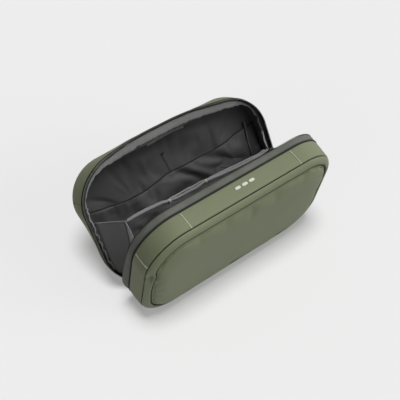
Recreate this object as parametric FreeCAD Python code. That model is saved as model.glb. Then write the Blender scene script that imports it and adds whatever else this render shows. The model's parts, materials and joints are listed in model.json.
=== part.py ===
import FreeCAD, Part
import math
import os

# Clamshell cable organizer pouch, standing open like a book on the outer edges of its base.
# Millimetres. +X runs along the fold line, +Z is up, the front half leans towards -Y and the
# back half towards +Y. The origin is on the floor, under the centre of the footprint box.
#
# Each half is drawn flat first, as a tray in local axes: x along the fold, h up the half from the
# fold line, d from the opening plane outwards to the face. It is then tilted into place.

# ---- overall shape ----
WIDTH = 230.0             # end to end
HEIGHT = 132.0            # fold line to top edge
CORNER_R = 42.0           # corner radius of the outline
TILT_FRONT = 12.7         # lean of the front half from upright, degrees
TILT_BACK = 29.5          # lean of the back half from upright, degrees
TILT_DIVIDER = 11.0       # lean of the middle divider towards the back half, degrees
DEPTH_FRONT = 30.0        # opening plane to face seam, front half
DEPTH_BACK_TOP = 32.0     # the same at the top of the back half
# at the fold the back half is shallower, so that both halves reach the same floor
DEPTH_BACK_FOLD = (DEPTH_FRONT * math.sin(math.radians(TILT_FRONT))
                   / math.sin(math.radians(TILT_BACK)))

# ---- side walls (gussets), given as distances inwards from the outline ----
WALL = (0.0, 1.6)         # coated fabric with its backing
TAPE = (0.6, 1.4)         # zip tape
COIL = (0.2, 1.8)         # zip coil
STOP = (0.1, 1.9)         # end stops of the coil
LINING = (1.7, 2.3)       # lining of the side wall
BINDING = (2.3, 3.1)      # bound edge inside the rim
TAPE_FRONT_END = 10.0     # depth where the front tape is sewn to the wall
TAPE_BACK_END = 6.0       # the same for the back half
COIL_D = (0.7, 2.2)       # coil from the opening plane
LINING_START = 5.5        # depth where the lining begins
ZIP_END_H = 14.0          # the zip stops this far above the fold line
STOP_LENGTH = 2.5         # length of an end stop
BAND_SPLIT_X = 66.5       # sewn joints of the top wall band
BAND_SPLIT_H = 104.0      # sewn joints of the end wall bands
BASE_H = 42.0             # the base band wraps up to here
SEAM_CORD = 1.2           # thickness of the cord in the face seam

# ---- front face: exterior pocket ----
FOAM_T = 2.1
LINING_T = 0.6
BORDER_IN = 8.0           # width of the raised border round the pocket
BORDER_TOP = 36.0         # depth of the border's outer face
BORDER_SLOPE = 3.5        # how far the border's outer edge is rolled in
PANEL_IN = 9.0            # the panel lies inside the border
PANEL_D = (33.6, 35.2)
PANEL_CROWN = 37.6        # depth of the panel's crown
PANEL_CROWN_IN = 22.0

# ---- back face ----
BACK_PANEL_IN = 3.0
BACK_PANEL_T = (1.3, 3.0)
BACK_CROWN_IN = 10.0
BACK_CROWN_T = 4.4

# ---- inside the back half ----
SLIP_POCKET_H = (8.0, 83.0)
SLIP_HEM_H = 86.0
SLIP_GAP = 5.4            # pocket layer in front of the wall seam plane
TAB_X = (-8.5, -3.5)      # keeper tab above the slip pocket
TAB_TOP_H = 106.0
BACK_BINDING_D = (5.1, 6.0)   # the rim's bound edge is turned in, parallel to the opening
TOP_BINDING_IN = 10.0
SIDE_BINDING_IN = 5.2
BINDING_SPLIT_H = 100.0
LABEL_X = (-26.0, 20.0)
LABEL_H = (116.5, 124.5)      # hangs from behind the top binding
LABEL_D = (6.1, 6.7)

# ---- divider with its elastic pockets ----
DIVIDER_HALF = 92.4       # half width
DIVIDER_T = 1.2
DIVIDER_H = (6.0, 79.0)
ELASTIC_TOP = 83.5
ELASTIC_T = 3.0
EDGE_T = 0.8
POCKET_D = (2.3, 3.1)     # pocket layer on the back side of the divider
POCKET_H = (9.0, 75.5)
POCKET_SIDE = 90.0
HEM_D = (1.6, 3.4)
HEM_TOP = 79.0
TACK_X = (-39.3, 6.5)     # tacks that part the elastic into three pockets
TACK_W = 2.0

# ---- folding ends between the halves and the divider ----
FOLD_T = 0.8
FOLD_RIM_LOW = (98.5, 14.0)      # x and h on the rim, lower end
FOLD_BACK_HIGH = (109.0, 82.0)
FOLD_FRONT_HIGH = (107.5, 103.0)
FOLD_INNER_X = 93.8
FOLD_INNER_H = (12.0, 80.0)
FOLD_RIM_D = 1.0
FOLD_DIVIDER_D = 0.9
FOLD_EDGE_T = 1.6

# ---- zip slider and its pull, on the straight right end of the front half ----
SLIDER_H = 48.0           # parked low down, near the fold
SLIDER_LEN = 9.0
SLIDER_HALF = 4.8         # half width across both coils
PLATE_T = 1.0
PLATE_GAP = 0.5           # plates to coil
POST_T = 0.6
POST_LEN = 3.0
CROWN = (2.4, 3.2, 1.6)   # lug on the outer plate: out, along, across
PIN_R = 0.45
PIN_HOLE_R = 0.55
ARM_T = 0.8
ARM_IN = 1.3              # inner faces of the loop's arms, across
LOOP_DROP = 7.0
PULL_LEN = 15.0
PULL_T = 1.6
PULL_HALF = 2.6

# ---- sewn and printed trim ----
STITCH_W = 1.0
STITCH_T = 0.3
STITCH_D = (12.0, 29.0)
MARK_X = (-7.5, 0.9, 9.3)  # plain dashes on the top band
MARK_LEN = 6.4
MARK_D = (17.0, 20.2)
MARK_T = 0.15

BIG = 400.0
AXIS_X = FreeCAD.Vector(1, 0, 0)
AXIS_Z = FreeCAD.Vector(0, 0, 1)
ZERO = FreeCAD.Vector(0, 0, 0)


def vec(x, y, z):
    return FreeCAD.Vector(x, y, z)


# ---- flat drawing of a half ----

def outline(inset, d):
    """Closed rounded rectangle, a given distance inside the outline of a half."""
    x1, y0, y1 = WIDTH / 2 - inset, inset, HEIGHT - inset
    r = CORNER_R - inset
    q = r * math.sqrt(0.5)
    edges = []
    corners = [(x1 - r, y0 + r, 1, -1), (x1 - r, y1 - r, 1, 1),
               (-x1 + r, y1 - r, -1, 1), (-x1 + r, y0 + r, -1, -1)]
    last = vec(-x1 + r, y0, d)
    for cx, cy, sx, sy in corners:
        across, along = vec(cx, cy + sy * r, d), vec(cx + sx * r, cy, d)
        first, second = (across, along) if sx * sy < 0 else (along, across)
        middle = vec(cx + sx * q, cy + sy * q, d)
        edges.append(Part.makeLine(last, first))
        edges.append(Part.Arc(first, middle, second).toShape())
        last = second
    return Part.Wire(edges)


def prism(inset, d0, d1):
    return Part.Face(outline(inset, d0)).extrude(vec(0, 0, d1 - d0))


def ring(insets, d0, d1):
    return prism(insets[0], d0, d1).cut(prism(insets[1], d0 - 1, d1 + 1))


def bevelled(inset0, d0, inset1, d1):
    return Part.makeLoft([outline(inset0, d0), outline(inset1, d1)], True, True)


def window(x0, x1, h0, h1):
    return Part.makeBox(x1 - x0, h1 - h0, 2 * BIG, vec(x0, h0, -BIG))


def keep(shape, x0, x1, h0, h1):
    return shape.common(window(x0, x1, h0, h1))


def box(x0, x1, h0, h1, d0, d1):
    return Part.makeBox(x1 - x0, h1 - h0, d1 - d0, vec(x0, h0, d0))


def mirrored_pair(shape):
    """A left piece and its right-hand twin."""
    return shape, shape.mirror(ZERO, AXIS_X)


# ---- tilting a flat drawing into place about the fold line ----

def place_front(shape, tilt=TILT_FRONT):
    s = shape.copy()
    s.rotate(ZERO, AXIS_X, 90 + tilt)
    return s


def place_back(shape, tilt=TILT_BACK):
    s = shape.mirror(ZERO, AXIS_Z)
    s.rotate(ZERO, AXIS_X, 90 - tilt)
    return s


def front_point(x, h, d):
    a = math.radians(TILT_FRONT)
    return vec(x, -h * math.sin(a) - d * math.cos(a), h * math.cos(a) - d * math.sin(a))


def back_point(x, h, d, tilt=TILT_BACK):
    a = math.radians(tilt)
    return vec(x, h * math.sin(a) + d * math.cos(a), h * math.cos(a) - d * math.sin(a))


# ---- the sloping face of the back half ----

def face_layer(t0, t1):
    """Everything between two planes parallel to the back face; t counts outwards from its seam."""
    layer = Part.makeBox(2 * BIG, 2 * BIG, t1 - t0, vec(-BIG, -BIG, t0))
    slope = math.degrees(math.atan((DEPTH_BACK_TOP - DEPTH_BACK_FOLD) / HEIGHT))
    layer.rotate(ZERO, AXIS_X, slope)
    layer.translate(vec(0, 0, DEPTH_BACK_FOLD))
    return layer


def back_slab(inset, t0, t1):
    return prism(inset, -BIG / 4, BIG / 4).common(face_layer(t0, t1))


# ---- side walls, zip and lining, common to both halves ----

def wall_bands(wall, rim):
    """The side wall as six bands: top, two upper corners, two ends and the wrapped base.
    Below the zip the base reaches in to the rim, where the fold strip is sewn on."""
    top = keep(wall, -BAND_SPLIT_X, BAND_SPLIT_X, HEIGHT / 2, BIG)
    corner = keep(wall, -BIG, -BAND_SPLIT_X, BAND_SPLIT_H, BIG)
    end = keep(wall, -BIG, 0, BASE_H, BAND_SPLIT_H)
    base = keep(wall, -BIG, BIG, -BIG, BASE_H).fuse(
        keep(rim, -BIG, BIG, -BIG, ZIP_END_H - STOP_LENGTH)).removeSplitter()
    corner_left, corner_right = mirrored_pair(corner)
    end_left, end_right = mirrored_pair(end)
    return {"wall_top": top, "wall_corner_left": corner_left, "wall_corner_right": corner_right,
            "wall_end_left": end_left, "wall_end_right": end_right, "base": base}


def zip_half(tape_end):
    above = (-BIG, BIG, ZIP_END_H, BIG)
    stops = keep(ring(STOP, COIL_D[0], COIL_D[1]), -BIG, BIG, ZIP_END_H - STOP_LENGTH, ZIP_END_H)
    return {"zip_tape": keep(ring(TAPE, COIL_D[1], tape_end), *above),
            "zip_coil": keep(ring(COIL, COIL_D[0], COIL_D[1]), *above),
            "zip_stops": Part.makeCompound(stops.Solids)}


# ---- front half ----

def front_shell():
    """Side walls, zip, face seam cord and lining tray."""
    parts = wall_bands(ring(WALL, TAPE_FRONT_END, DEPTH_FRONT),
                       ring(WALL, COIL_D[1], TAPE_FRONT_END))
    parts.update(zip_half(TAPE_FRONT_END))
    foam_d = DEPTH_FRONT - 0.1 - FOAM_T
    floor_d = foam_d - LINING_T
    parts["seam_cord"] = ring((0.4, 2.0), DEPTH_FRONT, DEPTH_FRONT + SEAM_CORD)
    parts["stiffener"] = prism(LINING[0] + 0.1, foam_d, foam_d + FOAM_T)
    parts["lining"] = ring(LINING, LINING_START, floor_d).fuse(
        prism(LINING[0], floor_d, foam_d)).removeSplitter()
    parts["rim_binding"] = keep(ring(BINDING, LINING_START, LINING_START + 5.0),
                                -BIG, BIG, ZIP_END_H, BIG)
    return parts


def front_face():
    """Exterior pocket: its lining, padding, raised border and crowned panel."""
    cord_top = DEPTH_FRONT + SEAM_CORD
    border = bevelled(1.0, cord_top, BORDER_SLOPE, BORDER_TOP).cut(
        prism(BORDER_IN, cord_top - 1, BORDER_TOP + 1))
    panel = prism(PANEL_IN, *PANEL_D).fuse(
        bevelled(PANEL_IN, PANEL_D[1], PANEL_CROWN_IN, PANEL_CROWN)).removeSplitter()
    return {"pocket_lining": prism(2.4, DEPTH_FRONT, cord_top - 0.1),
            "pocket_padding": prism(BORDER_IN + 0.3, cord_top, PANEL_D[0] - 0.1),
            "pocket_border": border,
            "pocket_panel": panel}


def stitch_bars():
    """Short bar stitches over the joints of the wall bands."""
    bars = []
    for x in (-BAND_SPLIT_X, BAND_SPLIT_X):
        bars.append(box(x - STITCH_W / 2, x + STITCH_W / 2, HEIGHT, HEIGHT + STITCH_T, *STITCH_D))
    centre = vec(WIDTH / 2 - CORNER_R, HEIGHT - CORNER_R, 0)
    turn = math.degrees(math.asin((BAND_SPLIT_H - centre.y) / CORNER_R))
    reach = centre.x + CORNER_R
    bar = box(reach + 0.02, reach + STITCH_T, centre.y - STITCH_W / 2, centre.y + STITCH_W / 2, *STITCH_D)
    bar.rotate(centre, AXIS_Z, turn)
    bars.extend(mirrored_pair(bar))
    return Part.makeCompound(bars)


def plain_mark():
    """Three plain printed dashes."""
    return Part.makeCompound([box(x, x + MARK_LEN, HEIGHT, HEIGHT + MARK_T, *MARK_D) for x in MARK_X])


# ---- back half ----

def back_shell():
    wall = ring(WALL, TAPE_BACK_END, BIG / 4).common(face_layer(-BIG, 0))
    parts = wall_bands(wall, ring(WALL, COIL_D[1], TAPE_BACK_END))
    parts.update(zip_half(TAPE_BACK_END))
    foam_t = -0.1 - FOAM_T
    lining_wall = ring(LINING, LINING_START, BIG / 4).common(face_layer(-BIG, foam_t))
    parts["lining"] = lining_wall.fuse(
        back_slab(LINING[0], foam_t - LINING_T, foam_t)).removeSplitter()
    parts["stiffener"] = back_slab(LINING[0] + 0.1, foam_t, -0.1)
    parts["seam_cord"] = prism(1.2, -BIG / 4, BIG / 4).cut(
        prism(2.8, -BIG / 2, BIG / 2)).common(face_layer(0, SEAM_CORD))
    parts["panel"] = back_slab(BACK_PANEL_IN, *BACK_PANEL_T).fuse(
        back_slab(BACK_CROWN_IN, BACK_PANEL_T[1], BACK_CROWN_T)).removeSplitter()
    return parts


def back_bindings():
    """The wide bound band along the top and the narrow ones down the ends."""
    top = keep(ring((BINDING[0] + 0.1, TOP_BINDING_IN), *BACK_BINDING_D), -BIG, BIG, BINDING_SPLIT_H, BIG)
    side = keep(ring((BINDING[0] + 0.1, SIDE_BINDING_IN), *BACK_BINDING_D),
                -BIG, 0, ZIP_END_H, BINDING_SPLIT_H)
    left, right = mirrored_pair(side)
    return {"rim_binding": top, "side_binding_left": left, "side_binding_right": right}


def back_inside():
    """Slip pocket on the back wall with its hem and keeper tab, and the plain sewn-in label."""
    inner = -0.1 - FOAM_T - LINING_T
    pocket = keep(back_slab(3.4, -SLIP_GAP, -SLIP_GAP + LINING_T), -BIG, BIG, *SLIP_POCKET_H)
    hem = keep(back_slab(3.4, -SLIP_GAP - 0.5, -SLIP_GAP + 1.0), -BIG, BIG, SLIP_POCKET_H[1], SLIP_HEM_H)
    tab = keep(back_slab(3.4, inner - 0.8, inner), TAB_X[0], TAB_X[1], SLIP_HEM_H, TAB_TOP_H)
    label = box(LABEL_X[0], LABEL_X[1], LABEL_H[0], LABEL_H[1], *LABEL_D)
    return {"slip_pocket": pocket, "slip_pocket_hem": hem, "keeper_tab": tab, "inner_label": label}


# ---- divider ----

def divider():
    """Middle panel with an elastic top edge; its own frame, d towards the back half."""
    half = DIVIDER_T / 2
    panel = box(-DIVIDER_HALF, DIVIDER_HALF, DIVIDER_H[0], DIVIDER_H[1], -half, half)
    elastic = box(-DIVIDER_HALF, DIVIDER_HALF, DIVIDER_H[1], ELASTIC_TOP, -ELASTIC_T / 2, ELASTIC_T / 2)
    edge = box(-DIVIDER_HALF - EDGE_T, -DIVIDER_HALF, DIVIDER_H[0], DIVIDER_H[1], -half, half)
    edge_left, edge_right = mirrored_pair(edge)
    parts = {"divider_panel": panel, "divider_elastic": elastic.makeFillet(1.2, long_edges(elastic)),
             "divider_edge_left": edge_left, "divider_edge_right": edge_right,
             "divider_pocket": box(-POCKET_SIDE, POCKET_SIDE, POCKET_H[0], POCKET_H[1], *POCKET_D)}
    stations = (-POCKET_SIDE,) + TACK_X + (POCKET_SIDE,)
    hems = [box(a + TACK_W / 2, b - TACK_W / 2, POCKET_H[1], HEM_TOP, *HEM_D)
            for a, b in zip(stations[:-1], stations[1:])]
    parts["divider_pocket_hem"] = Part.makeCompound(hems)
    parts["divider_tacks"] = Part.makeCompound(
        [box(x - TACK_W / 2, x + TACK_W / 2, POCKET_H[1], HEM_TOP, half, HEM_D[1]) for x in TACK_X])
    return parts


def long_edges(shape):
    return [e for e in shape.Edges if e.Length > WIDTH / 2]


# ---- fabric that folds when the pouch opens and shuts ----

def folded_sheet(corners, thickness):
    """Closed solid between four corners that need not lie in one plane."""
    a, b, c, d = corners
    normal = (c - a).cross(d - b).normalize() * (thickness / 2)
    low, high = [p - normal for p in corners], [p + normal for p in corners]
    faces = [(low[0], low[2], low[1]), (low[0], low[3], low[2]),
             (high[0], high[1], high[2]), (high[0], high[2], high[3])]
    for i in range(4):
        j = (i + 1) % 4
        faces.append((low[i], low[j], high[j], high[i]))
    shell = Part.makeShell([Part.Face(Part.makePolygon(list(f) + [f[0]])) for f in faces])
    solid = Part.makeSolid(shell)
    if solid.Volume < 0:
        solid.reverse()
    return solid


def fold_lines(side, toward):
    """Rim line and divider line of one folding end: low and high point of each."""
    point, high = (back_point, FOLD_BACK_HIGH) if toward > 0 else (front_point, FOLD_FRONT_HIGH)
    rim = [point(side * x, h, FOLD_RIM_D) for x, h in (FOLD_RIM_LOW, high)]
    inner = [back_point(side * FOLD_INNER_X, h, toward * FOLD_DIVIDER_D, TILT_DIVIDER)
             for h in FOLD_INNER_H]
    return rim, inner


def folding_end(side, toward):
    rim, inner = fold_lines(side, toward)
    return folded_sheet([rim[0], rim[1], inner[1], inner[0]], FOLD_T)


def folding_edge(side, toward):
    """Bound top edge of a folding end; on the front it widens towards the rim."""
    rim, inner = fold_lines(side, toward)
    gap = vec(0, 0, 0.1)
    rise = vec(0, 0, FOLD_EDGE_T)
    wide = vec(0, 0, 4.5) if toward < 0 else rise
    corners = [rim[1] + gap, rim[1] + gap + wide, inner[1] + gap + rise, inner[1] + gap]
    return folded_sheet(corners, FOLD_T)


def fold_strip():
    """Strip of fabric that joins both halves along the fold line."""
    lap, t = COIL_D[1] - 0.2, WALL[1] - 0.4
    points = [front_point(0, 0, lap), vec(0, 0, -0.3), back_point(0, 0, lap),
              back_point(0, t, lap), vec(0, 0, t), front_point(0, t, lap)]
    half = WIDTH / 2 - CORNER_R
    face = Part.Face(Part.makePolygon(points + [points[0]]))
    face.translate(vec(-half, 0, 0))
    return face.extrude(vec(2 * half, 0, 0))


# ---- zip slider and pull ----

def slider():
    """Two plates joined by a thin post between the coils, with a lug for the pull."""
    coil_out, coil_in = WIDTH / 2 - COIL[0], WIDTH / 2 - COIL[1]
    out0, in1 = coil_out + PLATE_GAP, coil_in - PLATE_GAP
    h0, h1 = SLIDER_H - SLIDER_LEN / 2, SLIDER_H + SLIDER_LEN / 2
    outer = box(out0, out0 + PLATE_T, h0, h1, -SLIDER_HALF, SLIDER_HALF)
    inner = box(in1 - PLATE_T, in1, h0, h1, -SLIDER_HALF, SLIDER_HALF)
    post = box(in1, out0, h1 - POST_LEN, h1, -POST_T / 2, POST_T / 2)
    body = outer.fuse([inner, post]).removeSplitter()
    out, along, across = CROWN
    lug = box(out0 + PLATE_T, out0 + PLATE_T + out, SLIDER_H - along / 2, SLIDER_H + along / 2,
              -across / 2, across / 2)
    x, h = pin_centre()
    hole = Part.makeCylinder(PIN_HOLE_R, 2 * across, vec(x, h, -across), AXIS_Z)
    return {"slider_body": body, "slider_lug": lug.cut(hole)}


def pin_centre():
    return WIDTH / 2 - COIL[0] + PLATE_GAP + PLATE_T + CROWN[0] / 2, SLIDER_H


def pull():
    """A loop through the lug, carrying a flat tab that hangs down."""
    x, h = pin_centre()
    far = ARM_IN + ARM_T
    pin = Part.makeCylinder(PIN_R, 2 * far, vec(x, h, -far), AXIS_Z)
    low = h - LOOP_DROP
    arms = [box(x - PIN_R, x + PIN_R, low, h + PIN_R, s, s + ARM_T) for s in (ARM_IN, -far)]
    bar = box(x - PIN_R, x + PIN_R, low, low + ARM_T, -far, far)
    loop = pin.fuse(arms + [bar]).removeSplitter()
    tab = box(x - PULL_T / 2, x + PULL_T / 2, low - PULL_LEN, low, -PULL_HALF, PULL_HALF)
    corners = [e for e in tab.Edges if abs(e.Length - PULL_T) < 0.01]
    return {"pull_loop": loop, "pull_tab": tab.makeFillet(PULL_HALF * 0.6, corners)}


# ---- assembly ----

def build():
    front = {**front_shell(), **front_face(), "stitch_bars": stitch_bars(), "plain_mark": plain_mark()}
    back = {**back_shell(), **back_bindings(), **back_inside()}
    nodes = {"front_" + name: place_front(s) for name, s in front.items()}
    nodes.update({"back_" + name: place_back(s) for name, s in back.items()})
    nodes.update({name: place_back(s, TILT_DIVIDER) for name, s in divider().items()})
    nodes.update({name: place_front(s) for name, s in {**slider(), **pull()}.items()})
    for side, end in ((-1, "left"), (1, "right")):
        for toward, half in ((1, "back"), (-1, "front")):
            nodes["%s_fold_%s" % (half, end)] = folding_end(side, toward)
            nodes["%s_fold_edge_%s" % (half, end)] = folding_edge(side, toward)
    nodes["fold_strip"] = fold_strip()
    return nodes


def move_to_origin(nodes):
    """Shift every piece so the footprint box is centred on the origin and the base is at z = 0."""
    total = FreeCAD.BoundBox()
    for shape in nodes.values():
        total.add(shape.optimalBoundingBox(False))
    shift = vec(-total.Center.x, -total.Center.y, -total.ZMin)
    for shape in nodes.values():
        shape.translate(shift)
    print("fold line through x=%.4f y=%.4f z=%.4f" % (shift.x, shift.y, shift.z))
    print("size %.2f x %.2f x %.2f" % (total.XLength, total.YLength, total.ZLength))


def export(nodes):
    os.makedirs("parts", exist_ok=True)
    for name in sorted(nodes):
        shape = nodes[name]
        if not shape.isValid() or shape.Volume <= 0:
            raise RuntimeError("%s is not a good solid" % name)
        if shape.ShapeType == "Compound" and len(shape.Solids) == 1:
            shape = shape.Solids[0]
        shape.exportStep("parts/%s.step" % name)
        print("%-28s %d solid(s) %9.1f mm3" % (name, len(shape.Solids), shape.Volume))


pieces = build()
move_to_origin(pieces)
export(pieces)
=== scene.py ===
import json
import math

import bmesh
import bpy
import numpy as np
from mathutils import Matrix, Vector, kdtree, noise

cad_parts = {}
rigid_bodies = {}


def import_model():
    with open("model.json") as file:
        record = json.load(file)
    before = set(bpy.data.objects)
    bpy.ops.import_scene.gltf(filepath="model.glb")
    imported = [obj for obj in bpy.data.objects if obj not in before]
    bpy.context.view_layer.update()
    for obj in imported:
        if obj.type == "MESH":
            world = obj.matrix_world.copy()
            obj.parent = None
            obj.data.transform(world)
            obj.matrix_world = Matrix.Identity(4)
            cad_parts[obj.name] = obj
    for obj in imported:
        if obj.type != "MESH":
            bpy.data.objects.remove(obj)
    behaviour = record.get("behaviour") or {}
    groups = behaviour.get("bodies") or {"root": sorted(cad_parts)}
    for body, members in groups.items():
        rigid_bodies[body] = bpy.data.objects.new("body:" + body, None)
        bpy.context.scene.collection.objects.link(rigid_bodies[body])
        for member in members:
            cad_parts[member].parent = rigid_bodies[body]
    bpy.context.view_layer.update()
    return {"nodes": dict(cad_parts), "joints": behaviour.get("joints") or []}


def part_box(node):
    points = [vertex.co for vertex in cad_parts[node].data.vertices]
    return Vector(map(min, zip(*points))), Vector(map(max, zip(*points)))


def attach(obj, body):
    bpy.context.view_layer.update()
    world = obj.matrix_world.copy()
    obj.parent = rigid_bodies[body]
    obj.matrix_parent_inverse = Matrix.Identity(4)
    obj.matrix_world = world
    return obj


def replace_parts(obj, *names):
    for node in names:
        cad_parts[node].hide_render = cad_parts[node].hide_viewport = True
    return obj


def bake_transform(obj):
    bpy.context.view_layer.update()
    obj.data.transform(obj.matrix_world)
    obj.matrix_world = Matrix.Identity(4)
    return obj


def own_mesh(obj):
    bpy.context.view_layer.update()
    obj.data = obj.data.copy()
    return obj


# Looks of the cable organizer pouch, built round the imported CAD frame.
#
# Each half is drawn as a tray in local millimetres: x along the fold, h up the half from the fold
# line, d from the opening plane outwards to the face. A piece that runs round the edge is drawn by
# its station s along the outline (from the middle of the fold, left end first) and its inset a.

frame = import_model()
joints = {joint["name"]: joint for joint in frame["joints"]}

# ---- driving dimensions, in millimetres, with places taken from the frame ----
MM = 0.001
UP = np.array((0, 0, 1.0))
FOLD_LINE = np.array(joints["pouch_open"]["pos_m"])
FRONT_UP = joints["zip_slide"]["axis"]
BASE_LOW, BASE_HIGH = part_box("front_base")
WIDTH = (BASE_HIGH.x - BASE_LOW.x) / MM
HEIGHT = 132.0
CORNER_R = 42.0
TILT_FRONT = math.degrees(math.atan2(-FRONT_UP[1], FRONT_UP[2]))
TILT_BACK = 29.5
TILT_DIVIDER = 11.0
DEPTH_FRONT = 30.0
DEPTH_BACK_TOP = 32.0
DEPTH_BACK_FOLD = DEPTH_FRONT * math.sin(math.radians(TILT_FRONT)) / math.sin(math.radians(TILT_BACK))
BACK_SLOPE = (DEPTH_BACK_TOP - DEPTH_BACK_FOLD) / HEIGHT

WALL_IN = 1.45            # inner side of the wall fabric, as an inset
WALL_RADIUS = 0.8         # roundness of a wall band's edges
FRONT_PUFF, BACK_PUFF = 0.7, 1.3
SWELL_AT_TOP = 0.1        # extra swell of the top wall, under the printed mark
TAPE_FRONT_END = 10.0     # depth where the zip tape passes under the wall
TAPE_BACK_END = 6.0
TAPE_LAP = 0.8            # the wall starts this far beyond the end of the tape
ZIP_END_H = 14.0
COIL_A, COIL_D = 1.0, 1.45
COIL_PITCH = 1.25
LINING_A = 2.2
LINING_START = 5.5
BACK_LINING_SEED = 33
BAND_X = 66.5             # sewn joints of the wall bands
BAND_H = 104.0
BASE_H = 42.0
RIM_ARCH = 11.8           # the slack back rim stands up in the middle
ARCH_X, ARCH_REACH = -8.0, 72.0
ARCH_HALF = 92.0          # half width of the arched run of the back rim, cut as pieces of its own
LEFT_SWELL = 1.9          # the back half's left end sags outwards at its rim
LEFT_PINCH = 5.2          # and draws in towards its face, low down
SIDE_EDGE_D = {"left": 4.0, "right": 8.0}     # depth and width of the edges turned in at the ends
SIDE_EDGE_WIDE = {"left": 1.9, "right": 1.6}
SIDE_EDGE_TOP = 100.0     # height where they meet the wide band along the top
POCKET_LOW, POCKET_TOP = 8.0, 84.0            # slip pocket
DIVIDER_HALF, DIVIDER_LOW = 90.0, 6.0
POCKET_SHARE = 0.975      # width of the divider's pocket layer, of the panel's
TACKS = (-39.3, 6.5)      # where the divider's two layers are tacked together

SIDE = WIDTH / 2 - CORNER_R
RISE = HEIGHT - 2 * CORNER_R
ARC = math.pi / 2 * CORNER_R
LEGS = (0, SIDE, ARC, RISE, ARC, 2 * SIDE, ARC, RISE, ARC, SIDE)
BREAKS = np.cumsum(LEGS)
ROUND = BREAKS[-1]
TOP_MIDDLE = ROUND / 2
ARCH_CUT = SIDE + CORNER_R * math.asin((ARCH_HALF - SIDE) / CORNER_R)
ARCH_RUN = (TOP_MIDDLE - ARCH_CUT, TOP_MIDDLE + ARCH_CUT)
SIDES = (("left", -1), ("right", 1))
TRUE_INSET = 9.0          # insets up to here keep the outline's shape; beyond, they close on a ridge
RIDGE = (WIDTH - HEIGHT) / 2


# ---- trays in space ----

def tray(tilt, outwards):
    """Maps local x, h, d of a leaning half to points in space, in metres."""
    c, s = math.cos(math.radians(tilt)), math.sin(math.radians(tilt))
    up = np.array((0, outwards * s, c))
    out = np.array((0, outwards * c, -s))

    def place(x, h, d):
        x, h, d = np.broadcast_arrays(x, h, d)
        local = x[..., None] * np.array((1, 0, 0)) + h[..., None] * up + d[..., None] * out
        return FOLD_LINE + local * MM
    return place


flat_front = tray(TILT_FRONT, -1)
place_divider = tray(TILT_DIVIDER, 1)
flat_back = tray(TILT_BACK, 1)


def back_face(h):
    """Depth of the sloping face seam of the back half."""
    return DEPTH_BACK_FOLD + BACK_SLOPE * h


def place_front(x, h, d):
    """The front half, with its rim pushed out a little at the upper right corner."""
    x, h, d = np.broadcast_arrays(x, h, d)
    corner = step_up(x, 62, 108) * step_up(h, 84, 126) * np.clip(1 - d / 22, 0, 1)
    return flat_front(x + 3.6 * corner, h + 0.8 * corner, d)


def place_back(x, h, d, rise=RIM_ARCH):
    """The back half, with its top rim arched up in the middle and its left end sagging outwards."""
    x, h, d = np.broadcast_arrays(x, h, d)
    high = np.clip((h - HEIGHT / 2) / (HEIGHT / 2), 0, 1)
    near = np.clip(1 - d / back_face(h), 0, 1)
    arch = rise * np.exp(-(np.abs(x - ARCH_X) / ARCH_REACH) ** 3.2)
    swell = LEFT_SWELL * step_up(-x, 60, WIDTH / 2) * step_up(h, 4, 55)
    pinch = LEFT_PINCH * step_up(-x, 55, 112) * (1 - step_up(h, 55, 108)) * np.clip(d / back_face(h), 0, 1)
    return flat_back(x - swell + pinch, h + arch * high ** 2 * (3 - 2 * high) * near, d)


def place_back_lining(x, h, d):
    """The back half without its arch."""
    return place_back(x, h, d, 0.0)


HALVES = {"front": (place_front, "front_half"), "back": (place_back, "back_half")}


# ---- the outline ----

def rim(s):
    """Point of the outline at station s, and the outward direction there."""
    s = np.asarray(s, float) % ROUND
    across = (0, -SIDE, -SIDE, -SIDE, -SIDE, SIDE, SIDE, SIDE, SIDE, 0)
    low, high = CORNER_R, CORNER_R + RISE
    up = (low, low, low, high, high, high, high, low, low, low)
    turn = np.radians((-90, -90, -180, -180, -270, -270, -360, -360, -450, -450))
    angle = np.interp(s, BREAKS, turn)
    nx, nh = np.cos(angle), np.sin(angle)
    return (np.interp(s, BREAKS, across) + CORNER_R * nx,
            np.interp(s, BREAKS, up) + CORNER_R * nh, nx, nh)


def around(s, a):
    """x and h at station s, inset a from the outline."""
    x, h, nx, nh = rim(s)
    near = np.minimum(a, TRUE_INSET)
    px, ph = x - near * nx, h - near * nh
    t = np.clip((a - TRUE_INSET) / (HEIGHT / 2 - TRUE_INSET), 0, 1)
    return px + (np.clip(px, -RIDGE, RIDGE) - px) * t, ph + (HEIGHT / 2 - ph) * t


def station_at_height(h, side):
    """Station where an end passes height h, left (side -1) or right (side 1)."""
    if h < CORNER_R:
        s = SIDE + ARC * math.acos((CORNER_R - h) / CORNER_R) / (math.pi / 2)
    elif h < CORNER_R + RISE:
        s = SIDE + ARC + h - CORNER_R
    else:
        s = SIDE + ARC + RISE + ARC * math.asin((h - CORNER_R - RISE) / CORNER_R) / (math.pi / 2)
    return s if side < 0 else ROUND - s


def half_width(h, inset):
    """Half the width of the outline at height h."""
    r = CORNER_R - inset
    away = np.maximum(np.maximum(CORNER_R - h, h - CORNER_R - RISE), 0)
    return SIDE + np.sqrt(np.maximum(r * r - away * away, 0))


def stations(s0=0.0, s1=ROUND, step=3.0):
    """Stations from s0 to s1. The top and the bottom are split alike, so that they meet on the ridge."""
    inner = sorted(b for b in (*BREAKS, TOP_MIDDLE) if s0 < b < s1)
    knots = [s0] + inner + [s1]
    parts = []
    for a, b in zip(knots[:-1], knots[1:]):
        count = max(2, int(math.ceil((b - a) / step)) + 1)
        parts.append(np.linspace(a, b, count)[:-1])
    return np.append(np.concatenate(parts), s1)


# ---- cloth simulation ----

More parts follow.
